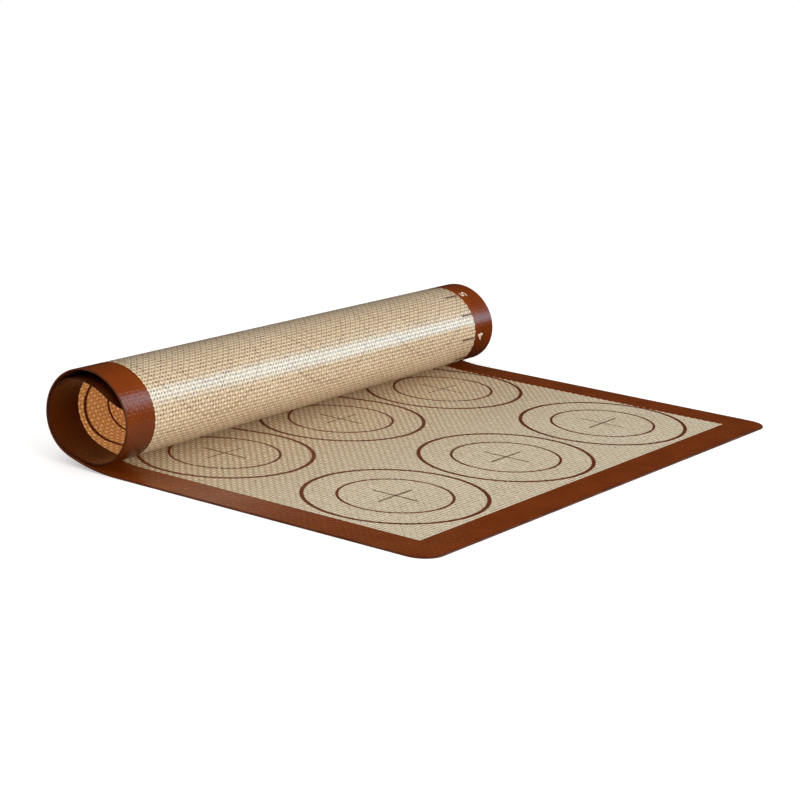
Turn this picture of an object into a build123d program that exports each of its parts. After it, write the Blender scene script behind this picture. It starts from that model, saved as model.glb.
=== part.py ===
from build123d import *
import os
from math import ceil, cos, hypot, pi, radians, sin

# Silicone baking mat, lying on a worktop with its far end rolled up.
# The sheet is a bonded laminate: a woven glass cloth between two silicone coats,
# with a printed border on both faces and printed placing rings on the upper face.
# On the underside the border and the ruler are printed on the cloth, under the coat.
# X runs along the mat, Y across it and Z up. The origin is the centre of the
# footprint, on the worktop. The flat end is at +X and the roll at -X.

# The sheet as it was cut, before it was rolled
sheet_length = 410.0
sheet_width = 295.0
corner_radius = 10.5
border_width = 17.5
edge_band_width = 0.8

# The layers, from the underside up
reverse_coat_thickness = 0.25
reverse_border_thickness = 0.08
glass_cloth_thickness = 0.22
food_coat_thickness = 0.20
food_border_thickness = 0.08
print_thickness = 0.05

# The placing marks on the upper face. The rows of rings fill the field across, and
# the columns are as many as fit along it. Margins are from the border to a ring.
row_count = 3
ring_gap = 4.1
near_ring_margin = 4.5
far_ring_margin = 0.1
end_ring_margin = 3.05
outer_ring_line = 1.8
inner_ring_line = 1.2
ring_spacing = 15.1
cross_arm = 12.25
cross_line = 0.7

# The inch ruler on the underside, along the far edge
inch = 25.4
inch_mark_length = 12.0
half_inch_mark_length = 9.0
mark_line = 0.7

# The roll. The underside leaves the worktop on a wide arc, climbs the left side,
# comes over the top and down again, and lands on the sheet it rose from.
# The second turn nests in the first and springs free of it under the top.
flat_run = 166.0
lift_radius = 90.0
left_radius = 16.8
shoulder_radius = 22.8
inner_shoulder_radius = 15.2
spring_radius = 27.5
tail_radius = 15.0
turn_clearance = 0.20
lift_turn = 20
seat_turn = 11
spring_turn = 60

# Modelling values
overrun = 0.05
corner_tool_reach = 1.2
ring_tool_reach = 1.0
ring_facet_length = 10.0

sheet_thickness = (reverse_coat_thickness + glass_cloth_thickness + food_coat_thickness
                   + food_border_thickness)
core_floor = reverse_coat_thickness
coat_floor = core_floor + glass_cloth_thickness
print_floor = coat_floor + food_coat_thickness
reverse_print_floor = reverse_coat_thickness - reverse_border_thickness
turn_pitch = sheet_thickness + turn_clearance
half_width = sheet_width / 2
field_length = sheet_length - 2 * border_width
field_width = sheet_width - 2 * border_width

# The rings' size and layout
ring_reach = (field_width - near_ring_margin - far_ring_margin
              - (row_count - 1) * ring_gap) / row_count / 2
outer_ring_radius = ring_reach - outer_ring_line / 2
inner_ring_radius = outer_ring_radius - ring_spacing
row_pitch = 2 * ring_reach + ring_gap
ring_run = field_length - 2 * end_ring_margin
column_count = int((ring_run + ring_gap) / row_pitch)
column_pitch = (ring_run - 2 * ring_reach) / (column_count - 1)


def solve_closing_radii():
    """Radii of the two arcs that bring the first turn down onto the sheet.

    The second turn has to pass one turn pitch above the first where both have the
    slope of seat_turn. The top and right arcs are the two unknowns, and the two
    coordinates of that point are the two conditions.
    """
    lift, seat = radians(lift_turn), radians(seat_turn)
    side_x = -lift_radius * sin(lift) - left_radius * (1 - sin(lift))
    side_z = lift_radius * (1 - cos(lift)) + left_radius * cos(lift)
    seat_x = -lift_radius * sin(seat) + turn_pitch * sin(seat)
    seat_z = lift_radius * (1 - cos(seat)) + turn_pitch * cos(seat)
    closing = (side_x + side_z + 2 * shoulder_radius - seat_x - seat_z) / (
        1 + sin(seat) + cos(seat))
    top = side_z + shoulder_radius - closing * cos(seat) - seat_z
    return top, closing


top_radius, closing_radius = solve_closing_radii()
roll_reach = (flat_run + lift_radius * sin(radians(lift_turn))
              + left_radius * (1 - sin(radians(lift_turn))))
flat_end = roll_reach / 2

# Each arc of the underside: its radius and how far it turns, in degrees
roll_arcs = [
    (lift_radius, lift_turn),
    (left_radius, 90 - lift_turn),
    (shoulder_radius, 90),
    (top_radius, 90),
    (closing_radius, 90 + seat_turn),
    (lift_radius - turn_pitch, lift_turn - seat_turn),
    (left_radius - turn_pitch, 90 - lift_turn),
    (inner_shoulder_radius, 90),
    (spring_radius, spring_turn),
    (tail_radius, 360),
]


def lay_out_path():
    """Pieces of the underside line: start, length, radius, corner point and heading.

    The heading is the turn made so far: 0 runs towards -X, 90 runs up.
    """
    pieces = [(0.0, flat_run, None, flat_end, 0.0, 0.0)]
    start, x, z, turned = flat_run, flat_end - flat_run, 0.0, 0.0
    for radius, turn in roll_arcs:
        length = radius * radians(turn)
        pieces.append((start, length, radius, x, z, turned))
        a, b = radians(turned), radians(turned + turn)
        x -= radius * (sin(b) - sin(a))
        z += radius * (cos(a) - cos(b))
        start += length
        turned += turn
    return pieces


path = lay_out_path()


def place(s, height):
    """Point at s along the sheet and height above its underside, with its slope.

    The slope is the turn made so far, in radians.
    """
    for start, length, radius, x, z, turned in path:
        if s <= start + length or radius == tail_radius:
            break
    a = radians(turned)
    if radius is None:
        return x - (s - start), z + height, a
    b = a + (s - start) / radius
    px = x - radius * (sin(b) - sin(a)) + height * sin(b)
    pz = z + radius * (cos(a) - cos(b)) + height * cos(b)
    return px, pz, b


def breaks_between(s0, s1):
    """s0, s1 and every place between them where one arc of the roll meets the next."""
    joints = [start for start, *_ in path if s0 < start < s1]
    return [s0, *joints, s1]


def strip(s0, s1, low, high, y0, y1):
    """A rectangle of the sheet between two heights, laid along the rolled path."""
    stations = breaks_between(s0, s1)

    def line(height, a, b):
        ends = [Vector(p[0], y0, p[1]) for p in (place(a, height), place(b, height))]
        if max(a, b) <= flat_run:
            return Edge.make_line(*ends)
        mid = place((a + b) / 2, height)
        return Edge.make_three_point_arc(ends[0], Vector(mid[0], y0, mid[1]), ends[1])

    lower = [line(low, a, b) for a, b in zip(stations, stations[1:])]
    upper = [line(high, b, a) for a, b in reversed(list(zip(stations, stations[1:])))]
    first = Edge.make_line(upper[-1] @ 1, lower[0] @ 0)
    last = Edge.make_line(lower[-1] @ 1, upper[0] @ 0)
    section = Face(Wire([*lower, last, *upper, first]))
    return extrude(section, amount=y1 - y0, dir=(0, 1, 0))


def corner_tool(inset, side, at_roll, low, high):
    """The waste outside one rounded corner, square to the sheet at that corner.

    The tool's own X points out past the sheet's end and its Y out past the edge.
    """
    radius = corner_radius - inset
    span = radius + overrun
    along = sheet_length - corner_radius if at_roll else corner_radius
    x, z, slope = place(along, 0)
    if at_roll:
        tip_x, tip_z, slope = place(sheet_length - inset, 0)
        reach = hypot(tip_x - x, tip_z - z)
        out = Vector((tip_x - x) / reach, 0, (tip_z - z) / reach)
    else:
        out = Vector(1, 0, 0)
    across = Vector(0, side, 0)
    hand = -side if at_roll else side
    corner = Plane(origin=(x, side * (half_width - corner_radius), z), x_dir=out,
                   z_dir=out.cross(across))
    middle = hand * (low + high) / 2
    block = Pos(span / 2, span / 2, middle) * Box(span, span, high - low)
    disc = Pos(0, 0, middle) * Cylinder(radius, high - low + overrun)
    return corner.location * (block - disc)


def corner_tools(inset, at_roll, low, high):
    """The tools for both corners of one end, taller by the roll, where the sheet bends."""
    extra = corner_tool_reach if at_roll else overrun
    return [corner_tool(inset, side, at_roll, low - extra, high + extra)
            for side in (-1, 1)]


def sheet_layer(inset, low, high):
    """A layer of the whole sheet, inset from its cut edge, with rounded corners."""
    layer = strip(inset, sheet_length - inset, low, high, -half_width + inset,
                  half_width - inset)
    return layer - [*corner_tools(inset, False, low, high),
                    *corner_tools(inset, True, low, high)]


def end_piece(inset, at_roll, low, high, past):
    """The end of the sheet up to its rounded corners and a little past them."""
    reach = corner_radius + past
    s0, s1 = (sheet_length - reach, sheet_length - inset) if at_roll else (inset, reach)
    piece = strip(s0, s1, low, high, -half_width + inset, half_width - inset)
    return piece - corner_tools(inset, at_roll, low, high)


def edge_seal():
    """The band of silicone that closes the cut edge all the way round."""
    edge = half_width - edge_band_width
    seal = [strip(corner_radius, sheet_length - corner_radius, 0, sheet_thickness, y, y
                  + edge_band_width) for y in (-half_width, edge)]
    for at_roll in (False, True):
        inner = end_piece(edge_band_width, at_roll, -overrun, sheet_thickness + overrun,
                          overrun)
        seal.append(end_piece(0, at_roll, 0, sheet_thickness, 0) - inner)
    return seal[0] + seal[1:]


def field(low, high):
    """A layer of the sheet inside the printed border."""
    return strip(border_width, sheet_length - border_width, low, high,
                 -half_width + border_width, half_width - border_width)


def border(low, high):
    """A printed border: the sheet's margin, from the edge band in to the field."""
    return sheet_layer(edge_band_width, low, high) - field(low - overrun, high + overrun)


def reverse_coat():
    """The lower silicone coat: it covers the printed border and fills in round the marks."""
    sheet = sheet_layer(edge_band_width, 0, reverse_print_floor)
    infill = field(reverse_print_floor, reverse_coat_thickness)
    return sheet + (infill - [*ruler_marks(inch_mark_length, 0, overrun),
                              *ruler_marks(half_inch_mark_length, inch / 2, overrun)])


def ring_tube_half(s, y, radius, line, low, high, first):
    """Half of a ring's tube, in short facets that stand square to the rolled sheet."""
    count = ceil(pi * radius / ring_facet_length)
    sections = []
    for step in range(count + 1):
        angle = pi * step / count + first
        along, across = cos(angle), sin(angle)
        x, z, slope = place(s + radius * along, low)
        spot = Vector(x, y + radius * across, z)
        edge = Vector(-cos(slope) * along, across, sin(slope) * along) * (line / 2)
        rise = Vector(sin(slope), 0, cos(slope)) * (high - low)
        sections.append(Wire.make_polygon(
            [spot - edge, spot + edge, spot + edge + rise, spot - edge + rise]))
    return Solid.make_loft(sections, ruled=True)


def ring(s, y, radius, line):
    """A ring printed on the upper face: a film of print trimmed by the ring's tube."""
    low, high = print_floor, print_floor + print_thickness
    reach = radius + line
    film = strip(s - reach, s + reach, low, high, y - reach, y + reach)
    near_half, far_half = [
        ring_tube_half(s, y, radius, line, low - ring_tool_reach,
                       high + ring_tool_reach, first) for first in (pi / 2, -pi / 2)]
    return film & (near_half + far_half)


def cross(s, y):
    """The small cross that marks the middle of a ring."""
    low, high = print_floor, print_floor + print_thickness
    half_line = cross_line / 2
    return (strip(s - cross_arm, s + cross_arm, low, high, y - half_line, y + half_line)
            + strip(s - half_line, s + half_line, low, high, y - cross_arm, y + cross_arm))


def ring_centres():
    """Where the rings lie: rows across the sheet, columns along it."""
    first_s = border_width + end_ring_margin + ring_reach
    first_y = -field_width / 2 + near_ring_margin + ring_reach
    return [(first_s + column * column_pitch, first_y + row * row_pitch)
            for column in range(column_count) for row in range(row_count)]


def ruler_marks(length, offset, extra=0):
    """Marks of the ruler, an inch apart, from the corner of the field by the roll."""
    zero = sheet_length - border_width
    count = int((field_length - offset - mark_line / 2) / inch)
    first = 0 if offset else 1
    edge = half_width - border_width
    marks = []
    for step in range(first, count + 1):
        s = zero - offset - step * inch
        marks.append(strip(s - mark_line / 2, s + mark_line / 2, reverse_print_floor,
                           reverse_coat_thickness + extra, edge - length, edge))
    return marks


def write(name, *solids):
    """Write one node, its separate solids side by side in one file."""
    shapes = [solid for part in solids for solid in part.solids()]
    print(name, len(shapes), round(sum(shape.volume for shape in shapes), 1),
          all(shape.is_valid for shape in shapes))
    export_step(Compound(label=name, children=shapes), f"parts/{name}.step")


def least_turn_gap():
    """Least clear distance between stretches over half a turn apart, on points."""
    count = 400
    spots = [place(sheet_length * i / count, 0) for i in range(count + 1)]
    gaps = [hypot(x - p[0], z - p[1]) - sheet_thickness
            for x, z, slope in spots for p in spots if slope - p[2] > pi]
    return min(gaps)


if __name__ == "__main__":
    os.makedirs("parts", exist_ok=True)
    print("arcs", [(round(r, 2), t) for r, t in roll_arcs])
    print("end", place(sheet_length, 0), "least gap", least_turn_gap())
    print("rings", outer_ring_radius, inner_ring_radius, column_count, column_pitch, row_pitch)
    centres = ring_centres()
    write("glass_cloth_core", sheet_layer(edge_band_width, core_floor, coat_floor))
    write("reverse_side_coat", reverse_coat())
    write("food_side_coat", sheet_layer(edge_band_width, coat_floor, print_floor))
    write("edge_seal", edge_seal())
    write("reverse_side_border", border(reverse_print_floor, reverse_coat_thickness))
    write("food_side_border", border(print_floor, sheet_thickness))
    write("outer_rings", *[ring(s, y, outer_ring_radius, outer_ring_line)
                           for s, y in centres])
    write("inner_rings", *[ring(s, y, inner_ring_radius, inner_ring_line)
                           for s, y in centres])
    write("centre_crosses", *[cross(s, y) for s, y in centres])
    write("inch_marks", *ruler_marks(inch_mark_length, 0))
    write("half_inch_marks", *ruler_marks(half_inch_mark_length, inch / 2))
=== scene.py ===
# %% [markdown]
# # A silicone baking mat with one end rolled up
# The mat is one thin sheet: glass cloth between two coats of silicone, printed with
# rings, crosses, a brown border and a ruler. Every layer here is drawn flat, as it was
# made, and one function rolls them all up together. That keeps each print on its sheet,
# and no length changes, as a real sheet bends but hardly stretches.

import math

import bmesh
import bpy
import numpy as np
from mathutils import Euler, Matrix, Vector


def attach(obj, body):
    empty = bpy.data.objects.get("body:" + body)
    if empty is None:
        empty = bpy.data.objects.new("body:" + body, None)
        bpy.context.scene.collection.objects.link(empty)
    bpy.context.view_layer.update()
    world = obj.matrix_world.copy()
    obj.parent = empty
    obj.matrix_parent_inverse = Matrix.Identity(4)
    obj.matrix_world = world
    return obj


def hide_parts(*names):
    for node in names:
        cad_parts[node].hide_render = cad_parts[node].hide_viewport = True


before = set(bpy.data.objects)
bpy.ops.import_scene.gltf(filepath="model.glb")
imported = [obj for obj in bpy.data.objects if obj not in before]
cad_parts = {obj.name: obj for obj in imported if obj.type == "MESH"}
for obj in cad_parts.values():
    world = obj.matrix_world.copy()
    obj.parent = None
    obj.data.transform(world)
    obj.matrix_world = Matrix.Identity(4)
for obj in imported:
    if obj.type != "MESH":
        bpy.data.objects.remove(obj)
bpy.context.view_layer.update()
print("nodes in the frame", len(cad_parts))

# %% [markdown]
# ## The camera
# The camera was found from the mat's straight edges and its rings. It looks down a
# little and from the right of the roll, with a long lens. It comes first, so that each
# new piece can be looked at from where the photograph was taken.

# %% Place the camera
camera_place = (0.5643, -0.8246, 0.2698)
camera_turn_degrees = (75.925, -2.591, 35.843)
lens_mm = 99.24
sensor_mm = 36.0

camera_data = bpy.data.cameras.new("camera")
camera_data.lens = lens_mm
camera_data.sensor_width = sensor_mm
camera = bpy.data.objects.new("camera", camera_data)
camera.location = camera_place
camera.rotation_euler = Euler([math.radians(angle) for angle in camera_turn_degrees])
bpy.context.scene.collection.objects.link(camera)
bpy.context.scene.camera = camera
print("camera", camera_place)

# %% [markdown]
# ## The sheet's sizes
# These are the sizes the sheet is cut and printed to, in millimetres. A place on the
# sheet has three numbers: s runs along the sheet from its flat end, y runs across it,
# and the height is measured up from the underside. The border is wider along the near
# side than along the others. The field is what lies inside it.

# %% Sizes in millimetres
mm = 0.001
sheet_length, sheet_width = 410.0, 295.0
half_width = sheet_width / 2
corner_radius = 10.5
border_width, near_border_width = 17.5, 18.9
edge_band_width = 0.8
sheet_thickness = 0.75
cloth_heights = (0.25, 0.47)
food_coat_heights = (0.47, 0.67)
field_start_s, field_end_s = border_width, sheet_length - border_width
field_edge_y = half_width - border_width
near_field_y = near_border_width - half_width
print("field", field_end_s - field_start_s, "by", round(field_edge_y - near_field_y, 1), "mm")

# %% [markdown]
# ## The roll's outline
# Seen from the side, the sheet runs flat along the table, lifts, and curls round by about
# one turn and two thirds. A soft roll isn't a true circle: it sags on its own weight and
# is squeezed where it sits. A curve drawn by hand could show this too, but a few arcs,
# each with a name, a radius and a turn, are easier to read and to change.

# %% Choose the roll's arcs
full_turn = 360.0
flat_run = 168.8
turn_pitch = 1.0
lift_radius, lift_turn = 87.8, 18.5
left_radius, left_turn = 18.4, 68.7
left_shoulder_radius, left_shoulder_turn = 20.5, 63.5
top_turn = 97.2
seat_turn = 12.1
second_shoulder_radius, second_shoulder_turn = 16.4, 92.6
spring_radius, spring_turn = 31.2, 42.2
end_radius, end_turn = 17.2, 120.0
print("the sheet lies flat for", flat_run, "mm")

# %% [markdown]
# The top arc and the one that comes down from it have no radius yet. Theirs are worked
# out, so that the second turn comes to lie just above the first. All the steps of an
# arc grow in step with its radius, so two plain equations are enough.

# %% Work out the two open radii


def arc_step(from_turn, to_turn):
    """How far left and up an arc of radius 1 goes: the change in the sine of its turn,
    and the change in the cosine with its sign turned round."""
    start, end = math.radians(from_turn), math.radians(to_turn)
    return np.array([math.sin(end) - math.sin(start), math.cos(start) - math.cos(end)])


def closing_radii():
    """The radii of the top arc and of the arc that comes down onto the sheet.

    The second turn has to pass one pitch inside the first where both slope by the seat's
    turn. The steps left and up of all the arcs before it must add up to that place,
    which gives two equations for the two radii.
    """
    known_radii = (lift_radius, left_radius, left_shoulder_radius)
    turns = np.cumsum([0, lift_turn, left_turn, left_shoulder_turn, top_turn])
    top_start, top_end = turns[-2:]
    known = sum(radius * arc_step(start, end)
                for radius, start, end in zip(known_radii, turns, turns[1:]))
    seat = math.radians(seat_turn)
    inward = np.array([-math.sin(seat), math.cos(seat)])
    goal = lift_radius * arc_step(0, seat_turn) + turn_pitch * inward
    steps = np.column_stack([arc_step(top_start, top_end),
                             arc_step(top_end, full_turn + seat_turn)])
    return np.linalg.solve(steps, goal - known)


top_radius, closing_radius = closing_radii()
closing_turn = full_turn + seat_turn - lift_turn - left_turn - left_shoulder_turn - top_turn
print("radii", round(top_radius, 2), "and", round(closing_radius, 2), "mm")

# %% List the arcs in their order
# Each arc: its name, its radius in millimetres and how far it turns in degrees
roll_arcs = (
    ("lift from the table", lift_radius, lift_turn),
    ("left side", left_radius, left_turn),
    ("left shoulder", left_shoulder_radius, left_shoulder_turn),
    ("top", top_radius, top_turn),
    ("right side and down to the seat", closing_radius, closing_turn),
    ("second turn, along the lift", lift_radius - turn_pitch, lift_turn - seat_turn),
    ("second turn, left side", left_radius - turn_pitch, left_turn),
    ("second turn, shoulder", second_shoulder_radius, second_shoulder_turn),
    ("springing free", spring_radius, spring_turn),
    ("free end", end_radius, end_turn),
)
for arc_name, arc_radius, arc_turn in roll_arcs:
    print(f"{arc_name}: radius {arc_radius:.1f} mm, {arc_turn:.0f} degrees")

# %% [markdown]
# Where two arcs meet, the bend would jump, and the eye sees that in a highlight. So the
# bend is averaged over a short length, and the line gets as smooth as a sheet of rubber.

# %% Bend the outline
blend_length = 8.0
step_length = 0.25
spare_length = 35.0


def roll_outline():
    """The outline at y = 0: the turn made so far, and x and z, at every step along s.

    The bend at s is one over the radius of the arc there, averaged over the blend
    length. The turn is the running sum of the bend, and the line goes one step along
    the direction of that turn each time: x falls by its cosine and z rises by its sine.
    The line runs on a little past the sheet's end, for the places away from y = 0.
    """
    middles = np.arange(0, sheet_length + spare_length, step_length) + step_length / 2
    bend = np.zeros_like(middles)
    start = flat_run
    for _, radius, degrees in roll_arcs:
        bend[middles >= start] = 1 / radius
        start += radius * math.radians(degrees)
    count = round(blend_length / step_length)
    padded_bend = np.pad(bend, count, mode="edge")
    bend = np.convolve(padded_bend, np.full(count, 1 / count), "same")[count:-count]
    turn = np.append(0, np.cumsum(bend * step_length))
    middle_turn = (turn[1:] + turn[:-1]) / 2
    x = np.append(0, -np.cumsum(np.cos(middle_turn) * step_length))
    z = np.append(0, np.cumsum(np.sin(middle_turn) * step_length))
    return turn, x, z


outline_turn, outline_x, outline_z = roll_outline()
turn_at_end = math.degrees(outline_turn[round(sheet_length / step_length)])
print("turns", round(turn_at_end / full_turn, 2), "height", round(outline_z.max(), 1), "mm")

# %% [markdown]
# ## From a flat sheet to a roll
# In the photograph the far end of the roll is a little tighter than the near end. A
# sheet that can't stretch can still do this: it bends like a cone with a tip very far
# away. So every place on the flat sheet keeps its distance from that tip, and only the
# direction changes, from the flat fan of directions to the rolled one. A bend modifier
# makes one even circle, and a curve modifier makes a roll that is the same all along, so
# neither would give this cone.

# %% The rolled fan of rays
flat_end_x = 103.918
cone_tip_x, cone_tip_y = -184.8, 5342.7


def unit(rows):
    """Every row divided by its own length."""
    return rows / np.linalg.norm(rows, axis=1)[:, None]


cone_tip = np.array([cone_tip_x, cone_tip_y, 0.0])
outline_points = np.column_stack(
    [flat_end_x + outline_x, np.zeros_like(outline_x), outline_z])
rays = unit(outline_points - cone_tip)
# From one ray to the next, the sine of the angle is the length of their cross product
ray_sines = np.linalg.norm(np.cross(rays[:-1], rays[1:]), axis=1)
ray_angles = np.append(0, np.cumsum(np.arcsin(ray_sines)))
# Square to the sheet: the ray crossed with the way it turns, down where the mat is flat
downward = unit(np.cross(rays, np.gradient(rays, ray_angles, axis=0)))
downward *= -np.sign(downward[1, 2])
print("rays", len(rays), "over", round(math.degrees(ray_angles[-1]), 2), "degrees")

# %% Roll up any place on the sheet


def rolled(s, y, height):
    """Where a place on the flat sheet comes to lie, in metres.

    Its angle round the cone's tip, from the ray through the flat end, says which ray of
    the rolled fan it is on. It lies on that ray at its old distance from the tip, and
    then moves square to the sheet by its height above the sheet's middle.
    """
    s, y, height = np.broadcast_arrays(s, y, height)
    x = flat_end_x - s
    start_angle = math.atan2(-cone_tip_y, flat_end_x - cone_tip_x)
    angle = start_angle - np.arctan2(y - cone_tip_y, x - cone_tip_x)
    distance = np.hypot(x - cone_tip_x, y - cone_tip_y)
    ray = unit(np.column_stack([np.interp(angle, ray_angles, part) for part in rays.T]))
    normal = unit(np.column_stack(
        [np.interp(angle, ray_angles, part) for part in downward.T]))
    on_table = angle < ray_angles[round((flat_run - blend_length) / step_length)]
    middle = np.where(on_table[:, None], np.column_stack([x, y, np.zeros_like(x)]),
                      cone_tip + ray * distance[:, None])
    half = sheet_thickness / 2
    placed = middle + normal * (half - height)[:, None] + np.array([0, 0, half])
    return placed * mm


end_check = rolled(np.array([0.0, sheet_length]), np.array([0.0, 0.0]), 0.0)
print("flat end", end_check[0].round(4), "rolled end", end_check[1].round(4))

# %% [markdown]
# ## A layer as a closed mesh
# Each layer or print is a grid of places on the flat sheet, with a lower and an upper
# face and a wall round its rim. A Solidify modifier could thicken a single face, but
# these layers lie exactly on each other and one of them is stepped, so both faces are
# worked out from their heights. The grid keeps its flat place as a UV map, one unit to
# the metre, so that the weave in the materials follows the sheet round the roll.

# %% A closed mesh from flat places
flat_map = "flat_sheet"


def signed_volume(points, quads):
    """Volume inside all faces, positive if they point outwards: a sixth of the sum over
    each triangle of its first corner dotted with the cross product of the other two."""
    a, b, c, d = (points[quads[:, k]] for k in range(4))
    return (np.einsum("ij,ij->", a, np.cross(b, c))
            + np.einsum("ij,ij->", a, np.cross(c, d))) / 6


def keep_flat_place(mesh, s, y):
    """Keep the flat place of each corner, in metres, as the mesh's UV map."""
    corner_of = np.empty(len(mesh.loops), dtype=np.int32)
    mesh.loops.foreach_get("vertex_index", corner_of)
    flat_place = np.column_stack([s, y + half_width])[corner_of] * mm
    mesh.uv_layers.new(name=flat_map).uv.foreach_set("vector", flat_place.ravel())


def mesh_from_flat(name, s, y, height, quads):
    """A closed mesh from the flat places of its corners, rolled up, with its UV map."""
    points = rolled(s, y, height)
    if signed_volume(points, quads) < 0:
        quads = quads[:, ::-1]
    mesh = bpy.data.meshes.new(name)
    mesh.vertices.add(len(points))
    mesh.vertices.foreach_set("co", points.ravel())
    mesh.loops.add(quads.size)
    mesh.loops.foreach_set("vertex_index", quads.ravel())
    mesh.polygons.add(len(quads))
    mesh.polygons.foreach_set("loop_start", np.arange(0, quads.size, 4))
    mesh.update(calc_edges=True)
    keep_flat_place(mesh, s, y)
    return mesh


print("each mesh keeps its flat places as", flat_map)

# %% A slab over a grid


def faces(a, b, c, d):
    """One row of four corner numbers for each face, from four grids of corners."""
    return np.column_stack([part.ravel() for part in (a, b, c, d)])


def slab(name, s, y, low, high, loop=False):
    """A closed layer over a grid of flat places, from height low to height high.

    Its upper and lower faces are the cells of the grid, and walls join their rims. With
    loop, the last line of the grid joins the first, and no walls are needed there.
    """
    rows, across = s.shape
    low, high = np.broadcast_to(low, s.shape), np.broadcast_to(high, s.shape)
    upper = np.arange(rows * across).reshape(rows, across)
    if loop:
        upper = np.vstack([upper, upper[:1]])
    lower = upper + rows * across
    parts = [
        faces(upper[:-1, :-1], upper[:-1, 1:], upper[1:, 1:], upper[1:, :-1]),
        faces(lower[:-1, :-1], lower[1:, :-1], lower[1:, 1:], lower[:-1, 1:]),
        faces(upper[:-1, 0], upper[1:, 0], lower[1:, 0], lower[:-1, 0]),
        faces(upper[1:, -1], upper[:-1, -1], lower[:-1, -1], lower[1:, -1]),
    ]
    if not loop:
        parts += [
            faces(upper[0, 1:], upper[0, :-1], lower[0, :-1], lower[0, 1:]),
            faces(upper[-1, :-1], upper[-1, 1:], lower[-1, 1:], lower[-1, :-1]),
        ]
    return mesh_from_flat(name, np.tile(s.ravel(), 2), np.tile(y.ravel(), 2),
                          np.concatenate([high.ravel(), low.ravel()]), np.vstack(parts))


try_s, try_y = np.meshgrid([0.0, 1.0], [0.0, 1.0], indexing="ij")
try_slab = slab("try_slab", try_s, try_y, 0.0, 1.0)
print("a slab over one cell has", len(try_slab.polygons), "faces")
bpy.data.meshes.remove(try_slab)

# %% [markdown]
# A grid that shrinks to a point at a corner leaves empty faces there, so corners that
# share a place are merged. Then the mesh becomes an object. It rides on the mat's one
# body and stands for the plain solid that it covers.

# %% Finish a mesh and make it a piece
sharp_angle = math.radians(35)
merge_distance = 1e-7


def finish_mesh(mesh):
    """Merge corners that share a place and drop the empty faces between them."""
    work = bmesh.new()
    work.from_mesh(mesh)
    bmesh.ops.remove_doubles(work, verts=work.verts, dist=merge_distance)
    bmesh.ops.dissolve_degenerate(work, edges=work.edges, dist=merge_distance)
    work.to_mesh(mesh)
    work.free()
    mesh.polygons.foreach_set("use_smooth", np.ones(len(mesh.polygons), dtype=bool))
    mesh.set_sharp_from_angle(angle=sharp_angle)
    return mesh


def joined(name, meshes):
    """Several meshes as one, each part still closed on its own."""
    work = bmesh.new()
    for mesh in meshes:
        work.from_mesh(mesh)
        bpy.data.meshes.remove(mesh)
    whole = bpy.data.meshes.new(name)
    work.to_mesh(whole)
    work.free()
    return whole


def piece(name, mesh, slot, *nodes):
    """A finished piece at the origin: it rides on the mat and stands for its nodes."""
    thing = bpy.data.objects.new(name, finish_mesh(mesh))
    bpy.context.scene.collection.objects.link(thing)
    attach(thing, "root")
    if nodes:
        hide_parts(*nodes)
    print(name, len(mesh.vertices), "corners")
    return thing


print("edges sharper than", round(math.degrees(sharp_angle)), "degrees stay sharp")

# %% [markdown]
# ## Where the grid's lines run
# The flat half needs few lines, and the roll needs one about every millimetre, or its
# curve would show corners. Lines also run along the edge of the printed border, where
# the layers step up or down.

# %% Grid lines along and across the sheet
flat_line_gap, roll_line_gap, across_line_gap = 4.0, 1.0, 5.0
dense_from_s = 140.0
border_step = 0.05


def even(start, end, gap):
    """Places from start to end, evenly spaced, at most a gap apart."""
    return np.linspace(start, end, math.ceil((end - start) / gap) + 1)


field_s_lines = np.unique(np.concatenate([even(field_start_s, dense_from_s, flat_line_gap),
                                          even(dense_from_s, field_end_s, roll_line_gap)]))
field_y_lines = even(-field_edge_y, field_edge_y, across_line_gap)
print("lines", len(field_s_lines), "along,", len(field_y_lines), "across")

# %% [markdown]
# The border is over a millimetre wider along the near side, as if the printing screen
# lay a little off. All grids are laid out with the same border on every side, and then
# the lines near that side slide over a little, together, so the layers still fit.

# %% Slide the lines near the wider border
slide_from_y = corner_radius - half_width


def slid(y):
    """y after the slide: straight lines between a few places that keep to their own.

    The rounded corners and the far border stay, and the even border's edge on the near
    side comes to the wider border's edge.
    """
    return np.interp(y, (-half_width, slide_from_y, -field_edge_y, field_edge_y, half_width),
                     (-half_width, slide_from_y, near_field_y, field_edge_y, half_width))


print("near border edge", -field_edge_y, "to", round(float(slid(-field_edge_y)), 1))

# %% [markdown]
# ## The cloth and its two coats
# The real sheet is a woven glass cloth with silicone spread on both sides. Each of the
# three layers is a full sheet with rounded corners. A column of the grid gets shorter
# near a corner, by the height of the corner's arc there. The corners could be cut off
# with a tool instead, but this keeps every face a tidy four-sided cell.

# %% Lay out the full sheets
corner_steps = 10


def sheet_grid(inset):
    """The grid of a full sheet, inset from the cut edge.

    Near an end, the half width is less by r - sqrt(r^2 - (r - a)^2), where a is the
    distance from the end and r the corner's radius. The columns there are spaced by the
    cosine of equal angles, so that they are closest where the corner is steepest.
    """
    radius = corner_radius - inset
    ease = corner_radius - radius * np.cos(np.linspace(0, math.pi / 2, corner_steps))
    ends = np.append(ease, field_start_s - border_step)
    columns = np.concatenate([ends, field_s_lines, (sheet_length - ends)[::-1]])
    from_end = np.minimum(columns, sheet_length - columns) - inset
    into_corner = np.clip(radius - from_end, 0, radius)
    half = half_width - inset - (radius - np.sqrt(radius ** 2 - into_corner ** 2))
    rim_rows = even(field_edge_y + border_step, half_width - inset, across_line_gap)
    rows = np.concatenate([-rim_rows[::-1], field_y_lines, rim_rows]) / (half_width - inset)
    s = np.meshgrid(columns, rows, indexing="ij")[0]
    return s, slid(half[:, None] * rows[None, :])


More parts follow.
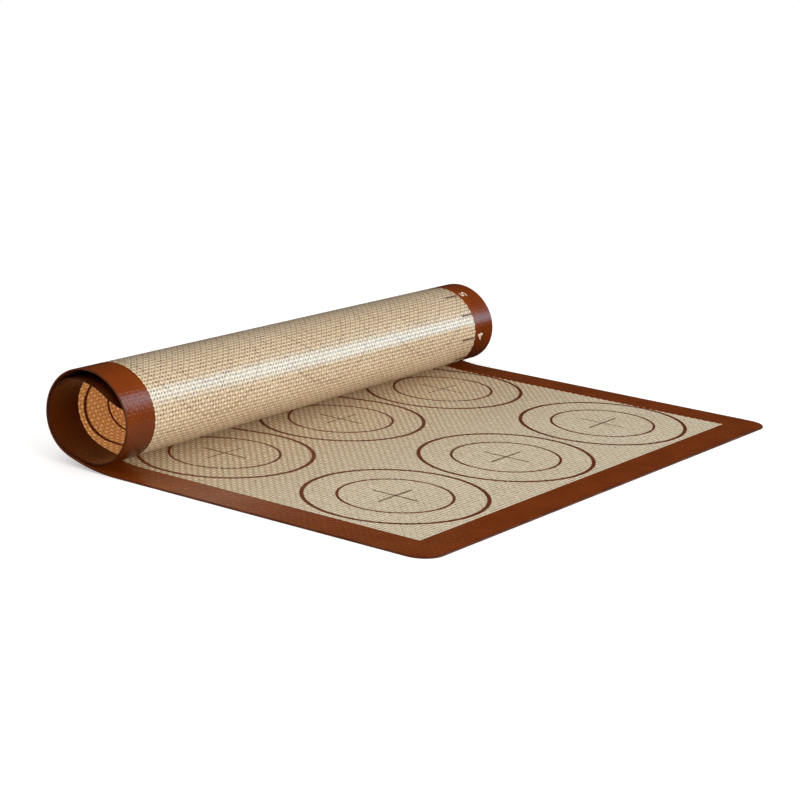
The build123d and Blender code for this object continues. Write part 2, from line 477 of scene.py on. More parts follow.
sheet_s, sheet_y = sheet_grid(edge_band_width)
cloth = piece("glass_cloth", slab("glass_cloth", sheet_s, sheet_y, *cloth_heights),
              "glass_cloth", "glass_cloth_core")
food_coat = piece("food_side_silicone",
                  slab("food_side_silicone", sheet_s, sheet_y, *food_coat_heights),
                  "clear_silicone", "food_side_coat")

# %% [markdown]
# The coat of the underside is thinner behind the border. On the real mat the border is
# printed under a skin of clear silicone too thin to see, so here the print itself is
# brought to the surface, and the coat steps back behind it.

# %% Lay out the underside's coat
reverse_coat_face = 0.04
behind_border = 0.18


def in_field(s, y):
    """True on the field inside the printed border."""
    edge = border_step / 2
    return ((s > field_start_s - edge) & (s < field_end_s + edge)
            & (y > near_field_y - edge) & (y < field_edge_y + edge))


reverse_low = np.where(in_field(sheet_s, sheet_y), reverse_coat_face, behind_border)
reverse_coat = piece("underside_silicone",
                     slab("underside_silicone", sheet_s, sheet_y, reverse_low,
                          cloth_heights[0]),
                     "clear_silicone", "reverse_side_coat")

# %% [markdown]
# ## Bands that run round the sheet
# The border and the sealed edge both follow the sheet's outline. A line at any inset
# from the cut edge has straight sides and corner arcs whose radius shrinks as the inset
# grows, until the corner is sharp. Lines at several insets, with the same number of
# points, make a band.

# %% Trace the outline at an inset
corner_run_steps = 4


def outline(inset):
    """s and y of points round the sheet at an inset from its edge, one way round.

    A corner starts where the field begins, runs straight to the arc, turns through it
    as centre minus radius times sine and cosine, and runs straight on to the next side.
    """
    centre = max(corner_radius, inset)
    radius = centre - inset
    run = np.linspace(border_width, centre, corner_run_steps)
    angle = np.linspace(0, math.pi / 2, corner_steps)
    level = np.full(corner_run_steps, float(inset))
    from_end = np.concatenate([run, centre - radius * np.sin(angle), level])
    from_side = np.concatenate([level, centre - radius * np.cos(angle), run[::-1]])
    along, across = field_s_lines[1:-1], field_y_lines[1:-1]
    s = np.concatenate([
        along, sheet_length - from_end, np.full(len(across), sheet_length - inset),
        (sheet_length - from_end)[::-1], along[::-1], from_end,
        np.full(len(across), float(inset)), from_end[::-1]])
    y = np.concatenate([
        np.full(len(along), inset - half_width), from_side - half_width, across,
        (half_width - from_side)[::-1], np.full(len(along), half_width - inset),
        half_width - from_side, across[::-1], (from_side - half_width)[::-1]])
    return s, slid(y)


def band_grid(insets):
    """The outlines at several insets, side by side, as a grid that closes on itself."""
    lines = [outline(inset) for inset in insets]
    return np.column_stack([s for s, _ in lines]), np.column_stack([y for _, y in lines])


print("points round the cut edge", len(outline(0.0)[0]))

# %% [markdown]
# ## The printed borders
# A brown silicone border is printed on both faces. It runs from the sealed edge in to
# the field. On the food side it stands a little above the coat. It could be a colour in
# the coat's material, but then its step would be missing where light grazes the mat.

# %% Print the borders
border_line_gap = 1.2
food_border_heights = (0.67, 0.75)
reverse_border_heights = (0.02, 0.17)
border_s, border_y = band_grid(even(edge_band_width, border_width, border_line_gap))
food_border = piece("food_side_border_print",
                    slab("food_side_border_print", border_s, border_y,
                         *food_border_heights, loop=True),
                    "brown_silicone", "food_side_border")
reverse_border = piece("underside_border_print",
                       slab("underside_border_print", border_s, border_y,
                            *reverse_border_heights, loop=True),
                       "brown_silicone", "reverse_side_border")

# %% [markdown]
# ## The sealed edge
# The cut edge of the cloth is closed with a thin bead of silicone. Its section is a
# small rounded strip, and it is carried round the outline: each point of the section
# has its own inset and height, so the bead is one closed tube.

# %% Carry the bead round the edge
bead_steps = 5


def edge_bead():
    """A closed tube: a rounded section carried along the outline.

    The outer side of the section is half an ellipse, its inset from sine and its height
    from cosine, and its inner side is straight.
    """
    angle = np.linspace(0, math.pi, 2 * bead_steps + 1)
    depth = edge_band_width / 2
    insets = np.concatenate([[edge_band_width], depth * (1 - np.sin(angle)),
                             [edge_band_width]])
    heights = np.concatenate([[sheet_thickness], sheet_thickness / 2 * (1 + np.cos(angle)),
                              [0.0]])
    s, y = band_grid(insets)
    index = np.arange(s.size).reshape(s.shape)
    index = np.vstack([index, index[:1]])
    index = np.column_stack([index, index[:, :1]])
    quads = faces(index[:-1, :-1], index[:-1, 1:], index[1:, 1:], index[1:, :-1])
    height = np.broadcast_to(heights, s.shape).ravel()
    return mesh_from_flat("sealed_edge", s.ravel(), y.ravel(), height, quads)


seal = piece("sealed_edge", edge_bead(), "brown_silicone", "edge_seal")

# %% [markdown]
# ## The printed rings and crosses
# Twelve pairs of rings show where to put the food, with a small cross in the middle of
# each pair. A ring is a band between two circles. It is drawn flat as angle by radius
# and rolled up with the sheet, so the rings near the roll bend with it. A picture on the
# sheet would get coarse close by, and a thin solid keeps its edge.

# %% Print the rings
print_heights = (0.67, 0.73)
outer_ring_radius, inner_ring_radius = 40.3, 25.2
outer_ring_line, inner_ring_line = 1.8, 1.2
first_ring_s, column_pitch, column_count = 61.75, 95.5, 4
first_ring_y, row_pitch, row_count = -84.3, 86.5, 3
ring_steps, ring_lines = 180, 4
ring_centres = [(first_ring_s + column * column_pitch, first_ring_y + row * row_pitch)
                for column in range(column_count) for row in range(row_count)]


def ring(s, y, radius, line):
    """A flat ring: centre plus radius times cosine and sine, for a few radii."""
    angle = np.arange(ring_steps) * (2 * math.pi / ring_steps)
    radii = np.linspace(radius + line / 2, radius - line / 2, ring_lines)
    return slab("ring", s + np.outer(np.cos(angle), radii), y + np.outer(np.sin(angle), radii),
                *print_heights, loop=True)


outer_rings = piece("outer_ring_prints", joined("outer_ring_prints", [
    ring(s, y, outer_ring_radius, outer_ring_line) for s, y in ring_centres]),
    "brown_print", "outer_rings")
inner_rings = piece("inner_ring_prints", joined("inner_ring_prints", [
    ring(s, y, inner_ring_radius, inner_ring_line) for s, y in ring_centres]),
    "brown_print", "inner_rings")

# %% Print the crosses
cross_arm, cross_line = 12.25, 0.7


def bar(s0, s1, y0, y1, low, high):
    """A straight printed line as a small grid."""
    grid = np.meshgrid(even(s0, s1, roll_line_gap), even(y0, y1, across_line_gap),
                       indexing="ij")
    return slab("bar", *grid, low, high)


def cross(s, y):
    """One long bar and two short ones that meet it without overlap."""
    half = cross_line / 2
    return [bar(s - cross_arm, s + cross_arm, y - half, y + half, *print_heights),
            bar(s - half, s + half, y + half, y + cross_arm, *print_heights),
            bar(s - half, s + half, y - cross_arm, y - half, *print_heights)]


crosses = piece("cross_prints", joined("cross_prints", [
    arm for s, y in ring_centres for arm in cross(s, y)]), "brown_print", "centre_crosses")

# %% [markdown]
# ## The ruler
# A ruler runs along the far side of the underside: a long mark at each inch, a short one
# between, and a number in the border. It starts at the rolled end of the field and
# counts towards the flat end, and it shows where the underside comes up over the roll.

# %% Print the ruler's marks
inch = 25.4
mark_line = 0.7
inch_mark_length, half_inch_mark_length = 12.0, 9.0
mark_heights = (0.0, 0.2)
ruler_zero_s, ruler_count = field_end_s, 14


def ruler_mark(s, length):
    """One mark of the ruler, in from the edge of the field."""
    return bar(s - mark_line / 2, s + mark_line / 2, field_edge_y - length, field_edge_y,
               *mark_heights)


inch_places = [ruler_zero_s - number * inch for number in range(1, ruler_count + 1)]
half_inch_places = [ruler_zero_s - (number + 0.5) * inch for number in range(ruler_count + 1)]
inch_marks = piece("inch_mark_prints", joined("inch_mark_prints", [
    ruler_mark(s, inch_mark_length) for s in inch_places]), "brown_print", "inch_marks")
half_marks = piece("half_inch_mark_prints", joined("half_inch_mark_prints", [
    ruler_mark(s, half_inch_mark_length) for s in half_inch_places]),
    "brown_print", "half_inch_marks")

# %% [markdown]
# ## The ruler's numbers
# Blender's own text gives the shapes of the numbers. The text is made a mesh while it
# is still flat, cut into narrow strips so that it can bend, given a thickness, and then
# rolled up with the rest. Its top points in towards the field.

# %% Draw a flat number
figure_height = 4.7
figure_stretch = 1.3
figure_curve_steps = 4


def flat_figure(text):
    """A number as flat faces in millimetres, its middle at the origin, and its width."""
    curve = bpy.data.curves.new("figure", "FONT")
    curve.body = text
    curve.resolution_u = figure_curve_steps
    source = bpy.data.objects.new("figure", curve)
    flat = bpy.data.meshes.new_from_object(source)
    bpy.data.objects.remove(source)
    work = bmesh.new()
    work.from_mesh(flat)
    bmesh.ops.remove_doubles(work, verts=work.verts, dist=merge_distance)
    corners = np.array([corner.co[:] for corner in work.verts])
    low, high = corners.min(axis=0), corners.max(axis=0)
    scale = figure_height / (high[1] - low[1])
    bmesh.ops.translate(work, verts=work.verts, vec=Vector(-(low + high) / 2))
    bmesh.ops.scale(work, verts=work.verts, vec=(scale * figure_stretch, scale, scale))
    return work, (high[0] - low[0]) * scale * figure_stretch


print("numbers", figure_height, "mm high, stretched", figure_stretch, "times")

# %% Thicken the numbers and roll them up
figure_middle_y = 135.3
figure_strip = 0.5
figure_heights = (0.0, 0.05)


def cut_and_thickened(work, width):
    """Flat faces cut into narrow strips and made solid, from z = 0 up to z = 1."""
    for cut in np.arange(-width / 2 + figure_strip, width / 2, figure_strip):
        bmesh.ops.bisect_plane(work, geom=work.verts[:] + work.edges[:] + work.faces[:],
                               plane_co=(cut, 0, 0), plane_no=(1, 0, 0))
    bmesh.ops.triangulate(work, faces=work.faces)
    grown = bmesh.ops.extrude_face_region(work, geom=work.faces[:], use_keep_orig=True)
    raised = [part for part in grown["geom"] if isinstance(part, bmesh.types.BMVert)]
    bmesh.ops.translate(work, verts=raised, vec=(0, 0, 1))
    bmesh.ops.recalc_face_normals(work, faces=work.faces)
    mesh = bpy.data.meshes.new("figure")
    work.to_mesh(mesh)
    work.free()
    return mesh


def figure(text, s):
    """A number as a closed mesh in the border, beside its inch mark."""
    mesh = cut_and_thickened(*flat_figure(text))
    spots = np.empty((len(mesh.vertices), 3))
    mesh.vertices.foreach_get("co", spots.ravel())
    place_s, place_y = s - spots[:, 0], figure_middle_y - spots[:, 1]
    at_top = spots[:, 2] > 0.5
    placed = rolled(place_s, place_y, np.where(at_top, *figure_heights))
    mesh.vertices.foreach_set("co", placed.ravel())
    keep_flat_place(mesh, place_s, place_y)
    return mesh


figures = piece("ruler_figures", joined("ruler_figures", [
    figure(str(number), s) for number, s in enumerate(inch_places, start=1)]),
    "brown_print")

# %% [markdown]
# ## Tools for the materials
# A shader tree is easier to read when each node is one short line. These helpers add a
# node and give back its output. A colour is written as it looks on a screen, 0 to 255,
# and turned into the light values that Blender wants.

# %% A colour as light


def paint(red, green, blue):
    """A screen colour, 0 to 255, as linear light: the inverse of the sRGB curve.

    A part c up to 0.04045 is divided by 12.92, and a larger one becomes
    ((c + 0.055) / 1.055) to the power 2.4.
    """
    part = np.array([red, green, blue]) / 255
    return (*np.where(part <= 0.04045, part / 12.92, ((part + 0.055) / 1.055) ** 2.4), 1.0)


print("middle grey as light", round(float(paint(128, 128, 128)[0]), 3))

# %% Start a material


def join(tree, value, socket):
    """Put a number, a colour or another node's output into an input socket."""
    if isinstance(value, bpy.types.NodeSocket):
        tree.links.new(value, socket)
    else:
        socket.default_value = value


def math_node(tree, operation, *values):
    """One step of arithmetic."""
    node = tree.nodes.new("ShaderNodeMath")
    node.operation = operation
    for value, socket in zip(values, node.inputs):
        join(tree, value, socket)
    return node.outputs[0]


def new_material(name):
    """An empty material with a Principled shader and the flat place s and y in mm."""
    material = bpy.data.materials.new(name)
    material.use_nodes = True
    tree = material.node_tree
    tree.nodes.clear()
    shader = tree.nodes.new("ShaderNodeBsdfPrincipled")
    output = tree.nodes.new("ShaderNodeOutputMaterial")
    tree.links.new(shader.outputs["BSDF"], output.inputs["Surface"])
    source = tree.nodes.new("ShaderNodeUVMap")
    source.uv_map = flat_map
    split = tree.nodes.new("ShaderNodeSeparateXYZ")
    tree.links.new(source.outputs["UV"], split.inputs["Vector"])
    s = math_node(tree, "DIVIDE", split.outputs["X"], mm)
    y = math_node(tree, "SUBTRACT", math_node(tree, "DIVIDE", split.outputs["Y"], mm), half_width)
    return material, tree, shader, source.outputs["UV"], s, y


print("materials read the flat place from", flat_map)

# %% Steps, mixes and noise
drift_from, drift_by = 0.3, 0.7
noise_detail = 2.0


def times(tree, *values):
    """The product of some values."""
    product = values[0]
    for value in values[1:]:
        product = math_node(tree, "MULTIPLY", product, value)
    return product


def smooth_step(tree, value, start, end, low=0.0, high=1.0):
    """A soft change from low to high as the value goes from start to end."""
    node = tree.nodes.new("ShaderNodeMapRange")
    node.interpolation_type = "SMOOTHSTEP"
    for name, part in zip(("Value", "From Min", "From Max", "To Min", "To Max"),
                          (value, start, end, low, high)):
        join(tree, part, node.inputs[name])
    return node.outputs["Result"]


def mix_colours(tree, share, first, second):
    """The first colour where the share is 0 and the second where it is 1."""
    node = tree.nodes.new("ShaderNodeMix")
    node.data_type = "RGBA"
    for name, part in (("Factor_Float", share), ("A_Color", first), ("B_Color", second)):
        socket = next(each for each in node.inputs if each.identifier == name)
        join(tree, part, socket)
    return next(each for each in node.outputs if each.identifier == "Result_Color")


def noise(tree, place, scale):
    """Soft noise around one half, on the flat sheet."""
    node = tree.nodes.new("ShaderNodeTexNoise")
    join(tree, place, node.inputs["Vector"])
    node.inputs["Scale"].default_value = scale
    node.inputs["Detail"].default_value = noise_detail
    return node.outputs["Fac"]


def uneven(tree, place, scale, low, high):
    """A value that drifts between low and high over the sheet."""
    return smooth_step(tree, noise(tree, place, scale), drift_from, drift_by, low, high)


def cloudy(tree, place, scale, first, second):
    """A colour that drifts between two over the sheet."""
    return mix_colours(tree, uneven(tree, place, scale, 0.0, 1.0), first, second)


print("noise from", drift_from, "to", drift_by, "becomes 0 to 1")

# %% [markdown]
# ## The weave
# Threads of glass cloth run both ways. Where a thread comes over its neighbour, its knot
# stands up and looks pale, and the knots of the next thread are shifted by one pitch.
# Where the gaps between the threads cross is a small dark hole. The threads are too many
# to model one by one, so the material works both out from the flat place: how far it is
# from the nearest knot, and from the nearest crossing of two gaps.

# %% Knots and holes of the weave
thread_pitch_s, thread_pitch_y = 1.82, 2.0
thread_wander, wander_scale = 0.5, 120.0
hole_slant = math.radians(28)
rim_from, rim_by = 1.5, 0.4


def inside_ellipse(tree, across, along, half_across, half_along):
    """1 in the middle of an ellipse, falling to 0 over its rim."""
    parts = [math_node(tree, "POWER", math_node(tree, "ABSOLUTE", math_node(
        tree, "DIVIDE", distance, half)), 2.0)
        for distance, half in ((across, half_across), (along, half_along))]
    return smooth_step(tree, math_node(tree, "ADD", *parts), rim_from, rim_by)


def weave(tree, place, s, y, knot_half, hole_half):
    """Two masks, 1 on the knots and 1 in the holes, each 0 elsewhere.

    A knot lies on thread i, every second pitch along it, and each next thread's knots
    are shifted by one pitch. With a and b the distances to the nearest knot along s and
    y, its mask falls from 1 to 0 as (a/half_s)^2 + (b/half_y)^2 passes 1. A hole lies
    half a pitch off both ways, and its ellipse is turned by the slant.
    """
    wander = math_node(tree, "MULTIPLY", math_node(
        tree, "SUBTRACT", noise(tree, place, wander_scale), 0.5), thread_wander)
    thread = math_node(tree, "DIVIDE", math_node(tree, "ADD", s, wander), thread_pitch_s)
    cross_thread = math_node(tree, "DIVIDE", math_node(tree, "SUBTRACT", y, wander),
                             thread_pitch_y)
    nearest = math_node(tree, "ROUND", thread)
    a = math_node(tree, "MULTIPLY", math_node(tree, "SUBTRACT", thread, nearest),
                  thread_pitch_s)
    pair = math_node(tree, "MULTIPLY", math_node(tree, "ADD", cross_thread, nearest), 0.5)
    b = math_node(tree, "MULTIPLY", math_node(
        tree, "SUBTRACT", math_node(tree, "FRACT", pair), 0.5), 2 * thread_pitch_y)
    knot = inside_ellipse(tree, a, b, *knot_half)
    c, d = (math_node(tree, "MULTIPLY", math_node(
        tree, "SUBTRACT", math_node(tree, "FRACT", value), 0.5), pitch)
        for value, pitch in ((thread, thread_pitch_s), (cross_thread, thread_pitch_y)))
    sine, cosine = math.sin(hole_slant), math.cos(hole_slant)
    long_way = math_node(tree, "SUBTRACT", math_node(tree, "MULTIPLY", d, cosine),
                         math_node(tree, "MULTIPLY", c, sine))
    short_way = math_node(tree, "ADD", math_node(tree, "MULTIPLY", d, sine),
                          math_node(tree, "MULTIPLY", c, cosine))
    return knot, inside_ellipse(tree, short_way, long_way, *hole_half)


print("threads", thread_pitch_s, "mm apart one way and", thread_pitch_y, "the other")

# %% [markdown]
# No two knots of a real cloth are alike, so noise makes some knots and holes fainter
# than others. The same masks give the relief: knots stand up and holes lie deep.

# %% Colour and relief from the weave
knot_chance_scale, least_knot = 400.0, 0.45
hole_chance_scale, least_hole = 350.0, 0.35


def woven_colour(tree, place, knot, hole, ground, pale, dark):
    """Ground colour with pale knots and dark holes, each as strong as chance has it."""
    knot_share = times(tree, knot, uneven(tree, place, knot_chance_scale, least_knot, 1.0))
    hole_share = times(tree, hole, uneven(tree, place, hole_chance_scale, least_hole, 1.0))
    return mix_colours(tree, hole_share, mix_colours(tree, knot_share, ground, pale), dark)


def woven_finish(tree, shader, colour, knot, hole, roughness, specular, relief):
    """Colour and gloss, with knots raised and holes sunk by a depth in metres."""
    tree.links.new(colour, shader.inputs["Base Color"])
    shader.inputs["Roughness"].default_value = roughness
    shader.inputs["Specular IOR Level"].default_value = specular
    bump = tree.nodes.new("ShaderNodeBump")
    bump.inputs["Distance"].default_value = relief
    tree.links.new(math_node(tree, "SUBTRACT", knot, hole), bump.inputs["Height"])
    tree.links.new(bump.outputs["Normal"], shader.inputs["Normal"])


print("the faintest knot has", least_knot, "of its full strength")

# %% [markdown]
# ## The food side
# The food side is tan, with small cream knots and darker holes between them. Far from
# the roll the cloth looks pale and even. Towards the roll the tan is painted deeper, as
# painted shade where the roll keeps light off, and the knots are painted clearer, as a
# painted highlight of light grazing them. Inside the roll, light comes through the thin
# sheet from behind and makes it glow a warm orange. Real light through the sheet would
# be slow and noisy, so there it is painted light: the colour gets warmer and a little of
# it is given off as light.

# %% Food side silicone
food_knot_half, food_hole_half = (0.66, 0.9), (0.62, 0.7)
cloud_scale = 25.0
near_roll_from_s, near_roll_by_s = 60.0, 150.0
far_knot_share = 0.6
warm_from_s, warm_by_s = 150.0, 330.0
glow_from_s, glow_by_s, glow_strength = 290.0, 335.0, 0.42
satin_roughness, satin_specular = 0.45, 0.3
weave_relief = 0.00004


def food_side_material():
    """Tan silicone with cream knots: painted shade near the roll, painted glow inside it."""
    material, tree, shader, place, s, y = new_material("tan_silicone_food_side")
    knot, hole = weave(tree, place, s, y, food_knot_half, food_hole_half)
    far_tan = cloudy(tree, place, cloud_scale, paint(222, 207, 178), paint(229, 214, 186))
    # These tans are painted shade near the roll and painted warm light inside it
    painted_shade_tan, warm_tan = paint(202, 175, 137), paint(200, 138, 78)
    near_roll = smooth_step(tree, s, near_roll_from_s, near_roll_by_s)
    # painted warm light: towards and inside the roll the colours get warmer, for light through
    # the sheet
    warm = smooth_step(tree, s, warm_from_s, warm_by_s)
    ground = mix_colours(tree, warm, mix_colours(tree, near_roll, far_tan, painted_shade_tan), warm_tan)
    pale = mix_colours(tree, warm, paint(248, 238, 216), paint(232, 184, 126))
    dark = mix_colours(tree, warm, paint(116, 96, 64), paint(156, 102, 58))
    # painted highlight: the knots stand out more towards the roll, as if lit by grazing light
    knot_share = smooth_step(tree, s, near_roll_from_s, near_roll_by_s, far_knot_share, 1.0)
    colour = woven_colour(tree, place, times(tree, knot, knot_share), hole, ground, pale, dark)
    # painted glow: inside the roll part of the colour is given off as light
    tree.links.new(colour, shader.inputs["Emission Color"])
    tree.links.new(smooth_step(tree, s, glow_from_s, glow_by_s, 0.0, glow_strength),
                   shader.inputs["Emission Strength"])
    woven_finish(tree, shader, colour, knot, hole, satin_roughness, satin_specular,
                 weave_relief)
    return material


food_coat.data.materials.append(food_side_material())
print("food side: warm from", warm_from_s, "mm along the sheet")

# %% [markdown]
# ## The underside
# From below, the cloth lies just under the surface, so the holes are long and close
# together. The rings of the other face show through as faint lines. They are drawn
# again here from the same centres: the distance to the nearest centre, less the radius.

# %% Rings that show through
line_softness = 0.12


def line_mask(tree, distance, line):
    """1 within half a line of distance 0, soft at its rim."""
    return smooth_step(tree, math_node(tree, "ABSOLUTE", distance),
                       line * (0.5 + line_softness), line * (0.5 - line_softness))


def from_nearest(tree, value, first, pitch):
    """The signed distance to the nearest of a row of places a pitch apart."""
    steps = math_node(tree, "DIVIDE", math_node(tree, "SUBTRACT", value, first), pitch)
    return times(tree, math_node(tree, "SUBTRACT", steps, math_node(tree, "ROUND", steps)), pitch)


def ghost_rings(tree, s, y):
    """1 on the rings that show through from the other face."""
    along = from_nearest(tree, s, first_ring_s, column_pitch)
    across = from_nearest(tree, y, first_ring_y, row_pitch)
    distance = math_node(tree, "SQRT", math_node(
        tree, "ADD", times(tree, along, along), times(tree, across, across)))
    outer, inner = (
        line_mask(tree, math_node(tree, "SUBTRACT", distance, radius), line)
        for radius, line in ((outer_ring_radius, outer_ring_line),
                             (inner_ring_radius, inner_ring_line)))
    return math_node(tree, "MAXIMUM", outer, inner)


print("rings show through at", len(ring_centres), "places")

# %% [markdown]
# The skin of the underside is clear and smoother than the food side, and a long pale
# streak lies along the roll. A clear coat over the satin shader gives it.

# %% Underside silicone
under_knot_half, under_hole_half = (0.62, 1.0), (0.5, 0.86)
ghost_strength = 0.22
skin_weight, skin_roughness = 0.7, 0.2


def underside_material():
    """The same sheet from below, with the rings of the other face showing through."""
    material, tree, shader, place, s, y = new_material("tan_silicone_underside")
    knot, hole = weave(tree, place, s, y, under_knot_half, under_hole_half)
    ground = cloudy(tree, place, cloud_scale, paint(203, 179, 145), paint(210, 187, 154))
    pale, dark, ghost_brown = paint(232, 216, 190), paint(108, 88, 60), paint(96, 52, 34)
    colour = woven_colour(tree, place, knot, hole, ground, pale, dark)
    faint = times(tree, ghost_rings(tree, s, y), ghost_strength,
                  math_node(tree, "SUBTRACT", 1.0, knot))
    colour = mix_colours(tree, faint, colour, ghost_brown)
    shader.inputs["Coat Weight"].default_value = skin_weight
    shader.inputs["Coat Roughness"].default_value = skin_roughness
    woven_finish(tree, shader, colour, knot, hole, satin_roughness, satin_specular,
                 weave_relief)
    return material


reverse_coat.data.materials.append(underside_material())
print("underside: clear skin of weight", skin_weight)

# %% [markdown]
# ## The brown border
# The border is a red-brown silicone, glossier than the field, and the weave under it
# makes its highlights jagged. Along the field its edge is broken by the pale knots.
# Inside the roll it gets little light and looks nearly black, so it darkens there.

# %% Border and sealed edge
tooth_length = 0.35
inside_from_s, inside_by_s, inside_share = 270.0, 310.0, 0.65
border_knot_half, border_hole_half = (0.7, 0.85), (0.4, 0.55)
border_cloud_scale = 60.0
border_knot_share = 0.3
border_roughness, edge_roughness = 0.2, 0.4
brown_specular = 0.2
border_relief = 0.00003


def field_teeth(tree, s, y, knot):
    """1 on the knots that show through the border's edge along the field."""
    beyond_side = math_node(tree, "MAXIMUM", math_node(tree, "SUBTRACT", y, field_edge_y),
                            math_node(tree, "SUBTRACT", near_field_y, y))
    beyond_end = math_node(tree, "MAXIMUM", math_node(tree, "SUBTRACT", field_start_s, s),
                           math_node(tree, "SUBTRACT", s, field_end_s))
    beyond = math_node(tree, "MAXIMUM", beyond_side, beyond_end)
    return times(tree, knot, smooth_step(tree, beyond, tooth_length, tooth_length / 2))


def border_material(name, dark, light, teeth, roughness):
    """Red-brown silicone with a woven relief, and teeth of cream along the field."""
    material, tree, shader, place, s, y = new_material(name)
    knot, hole = weave(tree, place, s, y, border_knot_half, border_hole_half)
    colour = cloudy(tree, place, border_cloud_scale, dark, light)
    colour = mix_colours(tree, times(tree, knot, border_knot_share), colour, light)
    inside = smooth_step(tree, s, inside_from_s, inside_by_s, 0.0, inside_share)
    colour = mix_colours(tree, inside, colour, paint(40, 14, 4))
    if teeth:
        cream = paint(230, 208, 174)
        colour = mix_colours(tree, field_teeth(tree, s, y, knot), colour, cream)
    woven_finish(tree, shader, colour, knot, hole, roughness, brown_specular, border_relief)
    return material


rust_border = border_material("rust_brown_border", paint(114, 49, 9), paint(125, 56, 12),
                              teeth=True, roughness=border_roughness)
# The bead's brown is darker than the border's: its own brown, darkened as painted shade along the
# thin edge.
edge_shade_material = border_material("edge_bead_painted_shade", paint(78, 34, 14), paint(100, 50, 26),
                                teeth=False, roughness=edge_roughness)
for thing, material in ((food_border, rust_border), (reverse_border, rust_border),
                        (seal, edge_shade_material)):
    thing.data.materials.append(material)
    print(thing.name, material.name)

# %% [markdown]
# ## The thin prints
# The lines of the rings, the crosses and the ruler are dark brown, and the numbers are
# cream. A print covers the knots less well than the rest, so they break up its lines.

# %% Rings, crosses, marks and numbers
print_knot_half, print_hole_half = (0.5, 0.7), (0.36, 0.5)
print_chance_scale, most_print_knot = 500.0, 0.5
print_roughness = 0.5


def print_material(name, dark, light):
    """A print in a dark colour, broken by knots in a light one."""
    material, tree, shader, place, s, y = new_material(name)
    knot, hole = weave(tree, place, s, y, print_knot_half, print_hole_half)
    share = times(tree, knot, uneven(tree, place, print_chance_scale, 0.0, most_print_knot))
    colour = mix_colours(tree, share, dark, light)
    woven_finish(tree, shader, colour, knot, hole, print_roughness, brown_specular,
                 weave_relief)
    return material


ring_print = print_material("brown_ring_print", paint(108, 48, 18), paint(158, 104, 62))
cross_print = print_material("brown_cross_print", paint(96, 62, 32), paint(150, 120, 82))
mark_print = print_material("dark_mark_print", paint(62, 34, 20), paint(110, 66, 44))
figure_print = print_material("cream_figure_print", paint(228, 212, 190), paint(240, 230, 214))
for thing, material in (
        (outer_rings, ring_print), (inner_rings, ring_print), (crosses, cross_print),
        (inch_marks, mark_print), (half_marks, mark_print), (figures, figure_print)):
    thing.data.materials.append(material)
    print(thing.name, material.name)

# %% [markdown]
# ## The cloth itself
# The coats cover the cloth, so it hardly shows. It still gets a plain weave of pale
# threads, for whoever takes the mat apart.

# %% Glass cloth
cloth_knot_half, cloth_hole_half = (0.8, 0.95), (0.3, 0.4)
cloth_roughness, cloth_specular = 0.6, 0.5
cloth_relief = 0.00008


def cloth_material():
    """Glass cloth: pale threads with a plain weave."""
    material, tree, shader, place, s, y = new_material("glass_cloth_weave")
    knot, hole = weave(tree, place, s, y, cloth_knot_half, cloth_hole_half)
    colour = woven_colour(tree, place, knot, hole, paint(196, 170, 132), paint(232, 218, 190),
                          paint(120, 96, 64))
    woven_finish(tree, shader, colour, knot, hole, cloth_roughness, cloth_specular,
                 cloth_relief)
    return material


cloth.data.materials.append(cloth_material())
print(cloth.name, cloth.data.materials[0].name)

# %% [markdown]

# %% [markdown]
# ## The floor
# The photograph has a white sweep. The floor is white by its own colour, with a little
# added for the camera alone, and far out the camera sees plain white. More light would
# whiten it too, but would bleach the mat. In reflections the floor is nearly dark, so
# that the glossy brown silicone keeps its deep colour.

# %% Lay the white floor
floor_half = 4.0
floor_colour, no_colour = (0.88, 0.88, 0.88, 1.0), (0.0, 0.0, 0.0, 1.0)
floor_lift = 0.36
white_from, white_by = 0.3, 0.7
reflected_strength = 0.02
floor_mesh = bpy.data.meshes.new("floor")
floor_mesh.from_pydata([(-floor_half, -floor_half, 0), (floor_half, -floor_half, 0),
                        (floor_half, floor_half, 0), (-floor_half, floor_half, 0)],
                       [], [(0, 1, 2, 3)])
floor = bpy.data.objects.new("floor", floor_mesh)
bpy.context.scene.collection.objects.link(floor)


def floor_material():
    """Matt white paper, with a little plain white added where the camera looks.

    Far from the mat, where no shadow falls, the camera sees plain white alone.
    """
    material = bpy.data.materials.new("white_paper")
    material.use_nodes = True
    tree = material.node_tree
    tree.nodes.clear()
    paper = tree.nodes.new("ShaderNodeBsdfDiffuse")
    glow, white = (tree.nodes.new("ShaderNodeEmission") for _ in range(2))
    both = tree.nodes.new("ShaderNodeAddShader")
    either = tree.nodes.new("ShaderNodeMixShader")
    output = tree.nodes.new("ShaderNodeOutputMaterial")
    path = tree.nodes.new("ShaderNodeLightPath")
    looked_at = path.outputs["Is Camera Ray"]
    dim = math_node(tree, "MULTIPLY", path.outputs["Is Glossy Ray"], 1 - reflected_strength)
    tree.links.new(mix_colours(tree, dim, floor_colour, no_colour), paper.inputs["Color"])
    reach = tree.nodes.new("ShaderNodeVectorMath")
    reach.operation = "LENGTH"
    tree.links.new(tree.nodes.new("ShaderNodeTexCoord").outputs["Object"], reach.inputs[0])
    far = smooth_step(tree, reach.outputs["Value"], white_from, white_by)
    tree.links.new(math_node(tree, "MULTIPLY", looked_at, floor_lift), glow.inputs["Strength"])
    tree.links.new(paper.outputs[0], both.inputs[0])
    tree.links.new(glow.outputs[0], both.inputs[1])
    tree.links.new(math_node(tree, "MULTIPLY", looked_at, far), either.inputs[0])
    tree.links.new(both.outputs[0], either.inputs[1])
    tree.links.new(white.outputs[0], either.inputs[2])
    tree.links.new(either.outputs[0], output.inputs["Surface"])
    return material


floor_mesh.materials.append(floor_material())
print("floor", 2 * floor_half, "m wide")

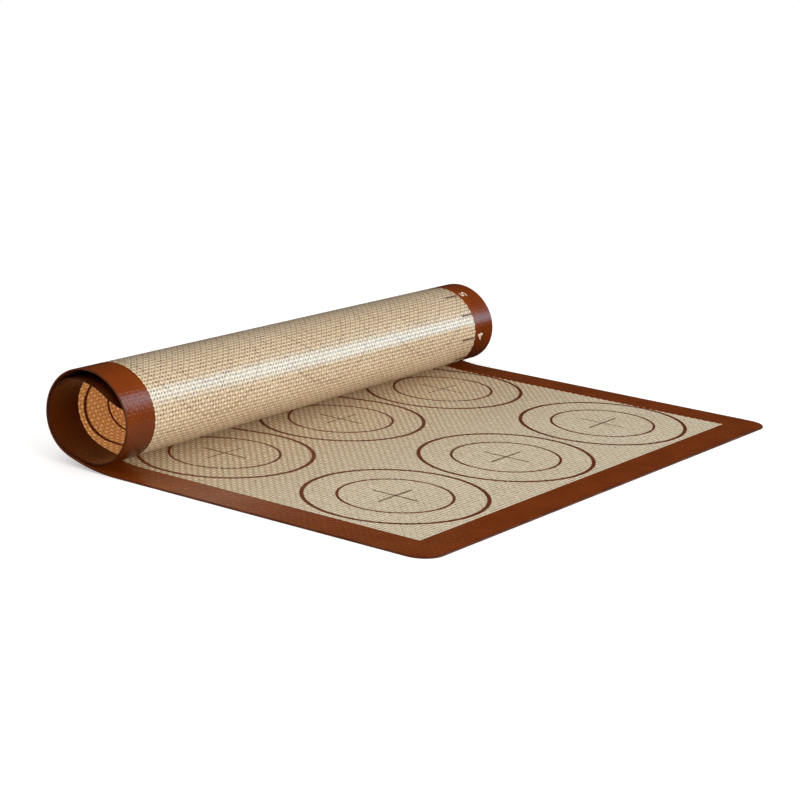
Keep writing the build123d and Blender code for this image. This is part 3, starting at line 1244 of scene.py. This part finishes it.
# %% [markdown]
# ## The light
# Most of the light is soft and comes from all round, so it is given by the world. A
# large warm lamp on the right adds some shape, and stays out of the reflections. One
# long cool lamp behind and above draws the pale streak along the roll. It shows only in
# reflections, so the streak can be made clearer without a change in the shading.

# %% Even light all round
world_strength = 0.8


def white_world():
    """Even white light, plain white where the camera looks past the floor, and a dim
    room in the reflections, so that glossy silicone keeps its deep colour."""
    world = bpy.data.worlds.new("white_sweep")
    world.use_nodes = True
    tree = world.node_tree
    background = tree.nodes["Background"]
    background.inputs["Color"].default_value = (1, 1, 1, 1)
    path = tree.nodes.new("ShaderNodeLightPath")
    strength = math_node(tree, "MULTIPLY_ADD", path.outputs["Is Camera Ray"],
                         1 - world_strength, world_strength)
    dimmer = math_node(tree, "MULTIPLY", path.outputs["Is Glossy Ray"],
                       world_strength - reflected_strength)
    tree.links.new(math_node(tree, "SUBTRACT", strength, dimmer), background.inputs["Strength"])
    return world


bpy.context.scene.world = white_world()
bpy.context.scene.view_settings.view_transform = "Standard"
print("world strength", world_strength, "and", reflected_strength, "in reflections")

# %% Two soft lamps
mat_middle, roll_middle = (0.0, 0.0, 0.0), (-0.08, 0.0, 0.03)
strip_place, strip_long_way = (0.829, 1.368, 0.741), (0.11, 0.51, -0.63)
strip_size, strip_watts, cool_white = (1.1, 0.4), 10, (0.45, 0.78, 1.0)
fill_place, fill_long_way = (2.0, -0.45, 0.6), (0, 1, 0)
fill_size, fill_watts, warm_white = (1.6, 1.0), 30, (1.0, 0.93, 0.86)


def soft_lamp(name, place, aim, long_way, size, watts, colour):
    """A rectangular lamp that faces the aim, its long side as near as can be to a
    given direction."""
    data = bpy.data.lights.new(name, "AREA")
    data.shape = "RECTANGLE"
    data.size, data.size_y = size
    data.energy = watts
    data.color = colour
    back = (Vector(place) - Vector(aim)).normalized()
    across = back.cross(Vector(long_way)).normalized()
    turn = Matrix((across.cross(back), across, back)).transposed()
    lamp = bpy.data.objects.new(name, data)
    lamp.location = place
    lamp.rotation_euler = turn.to_euler()
    bpy.context.scene.collection.objects.link(lamp)
    print(name, watts, "watts")
    return lamp


strip = soft_lamp("strip_behind", strip_place, roll_middle, strip_long_way, strip_size,
                  strip_watts, cool_white)
strip.visible_diffuse = False
fill = soft_lamp("fill_from_the_right", fill_place, mat_middle, fill_long_way, fill_size,
                 fill_watts, warm_white)
fill.visible_glossy = False
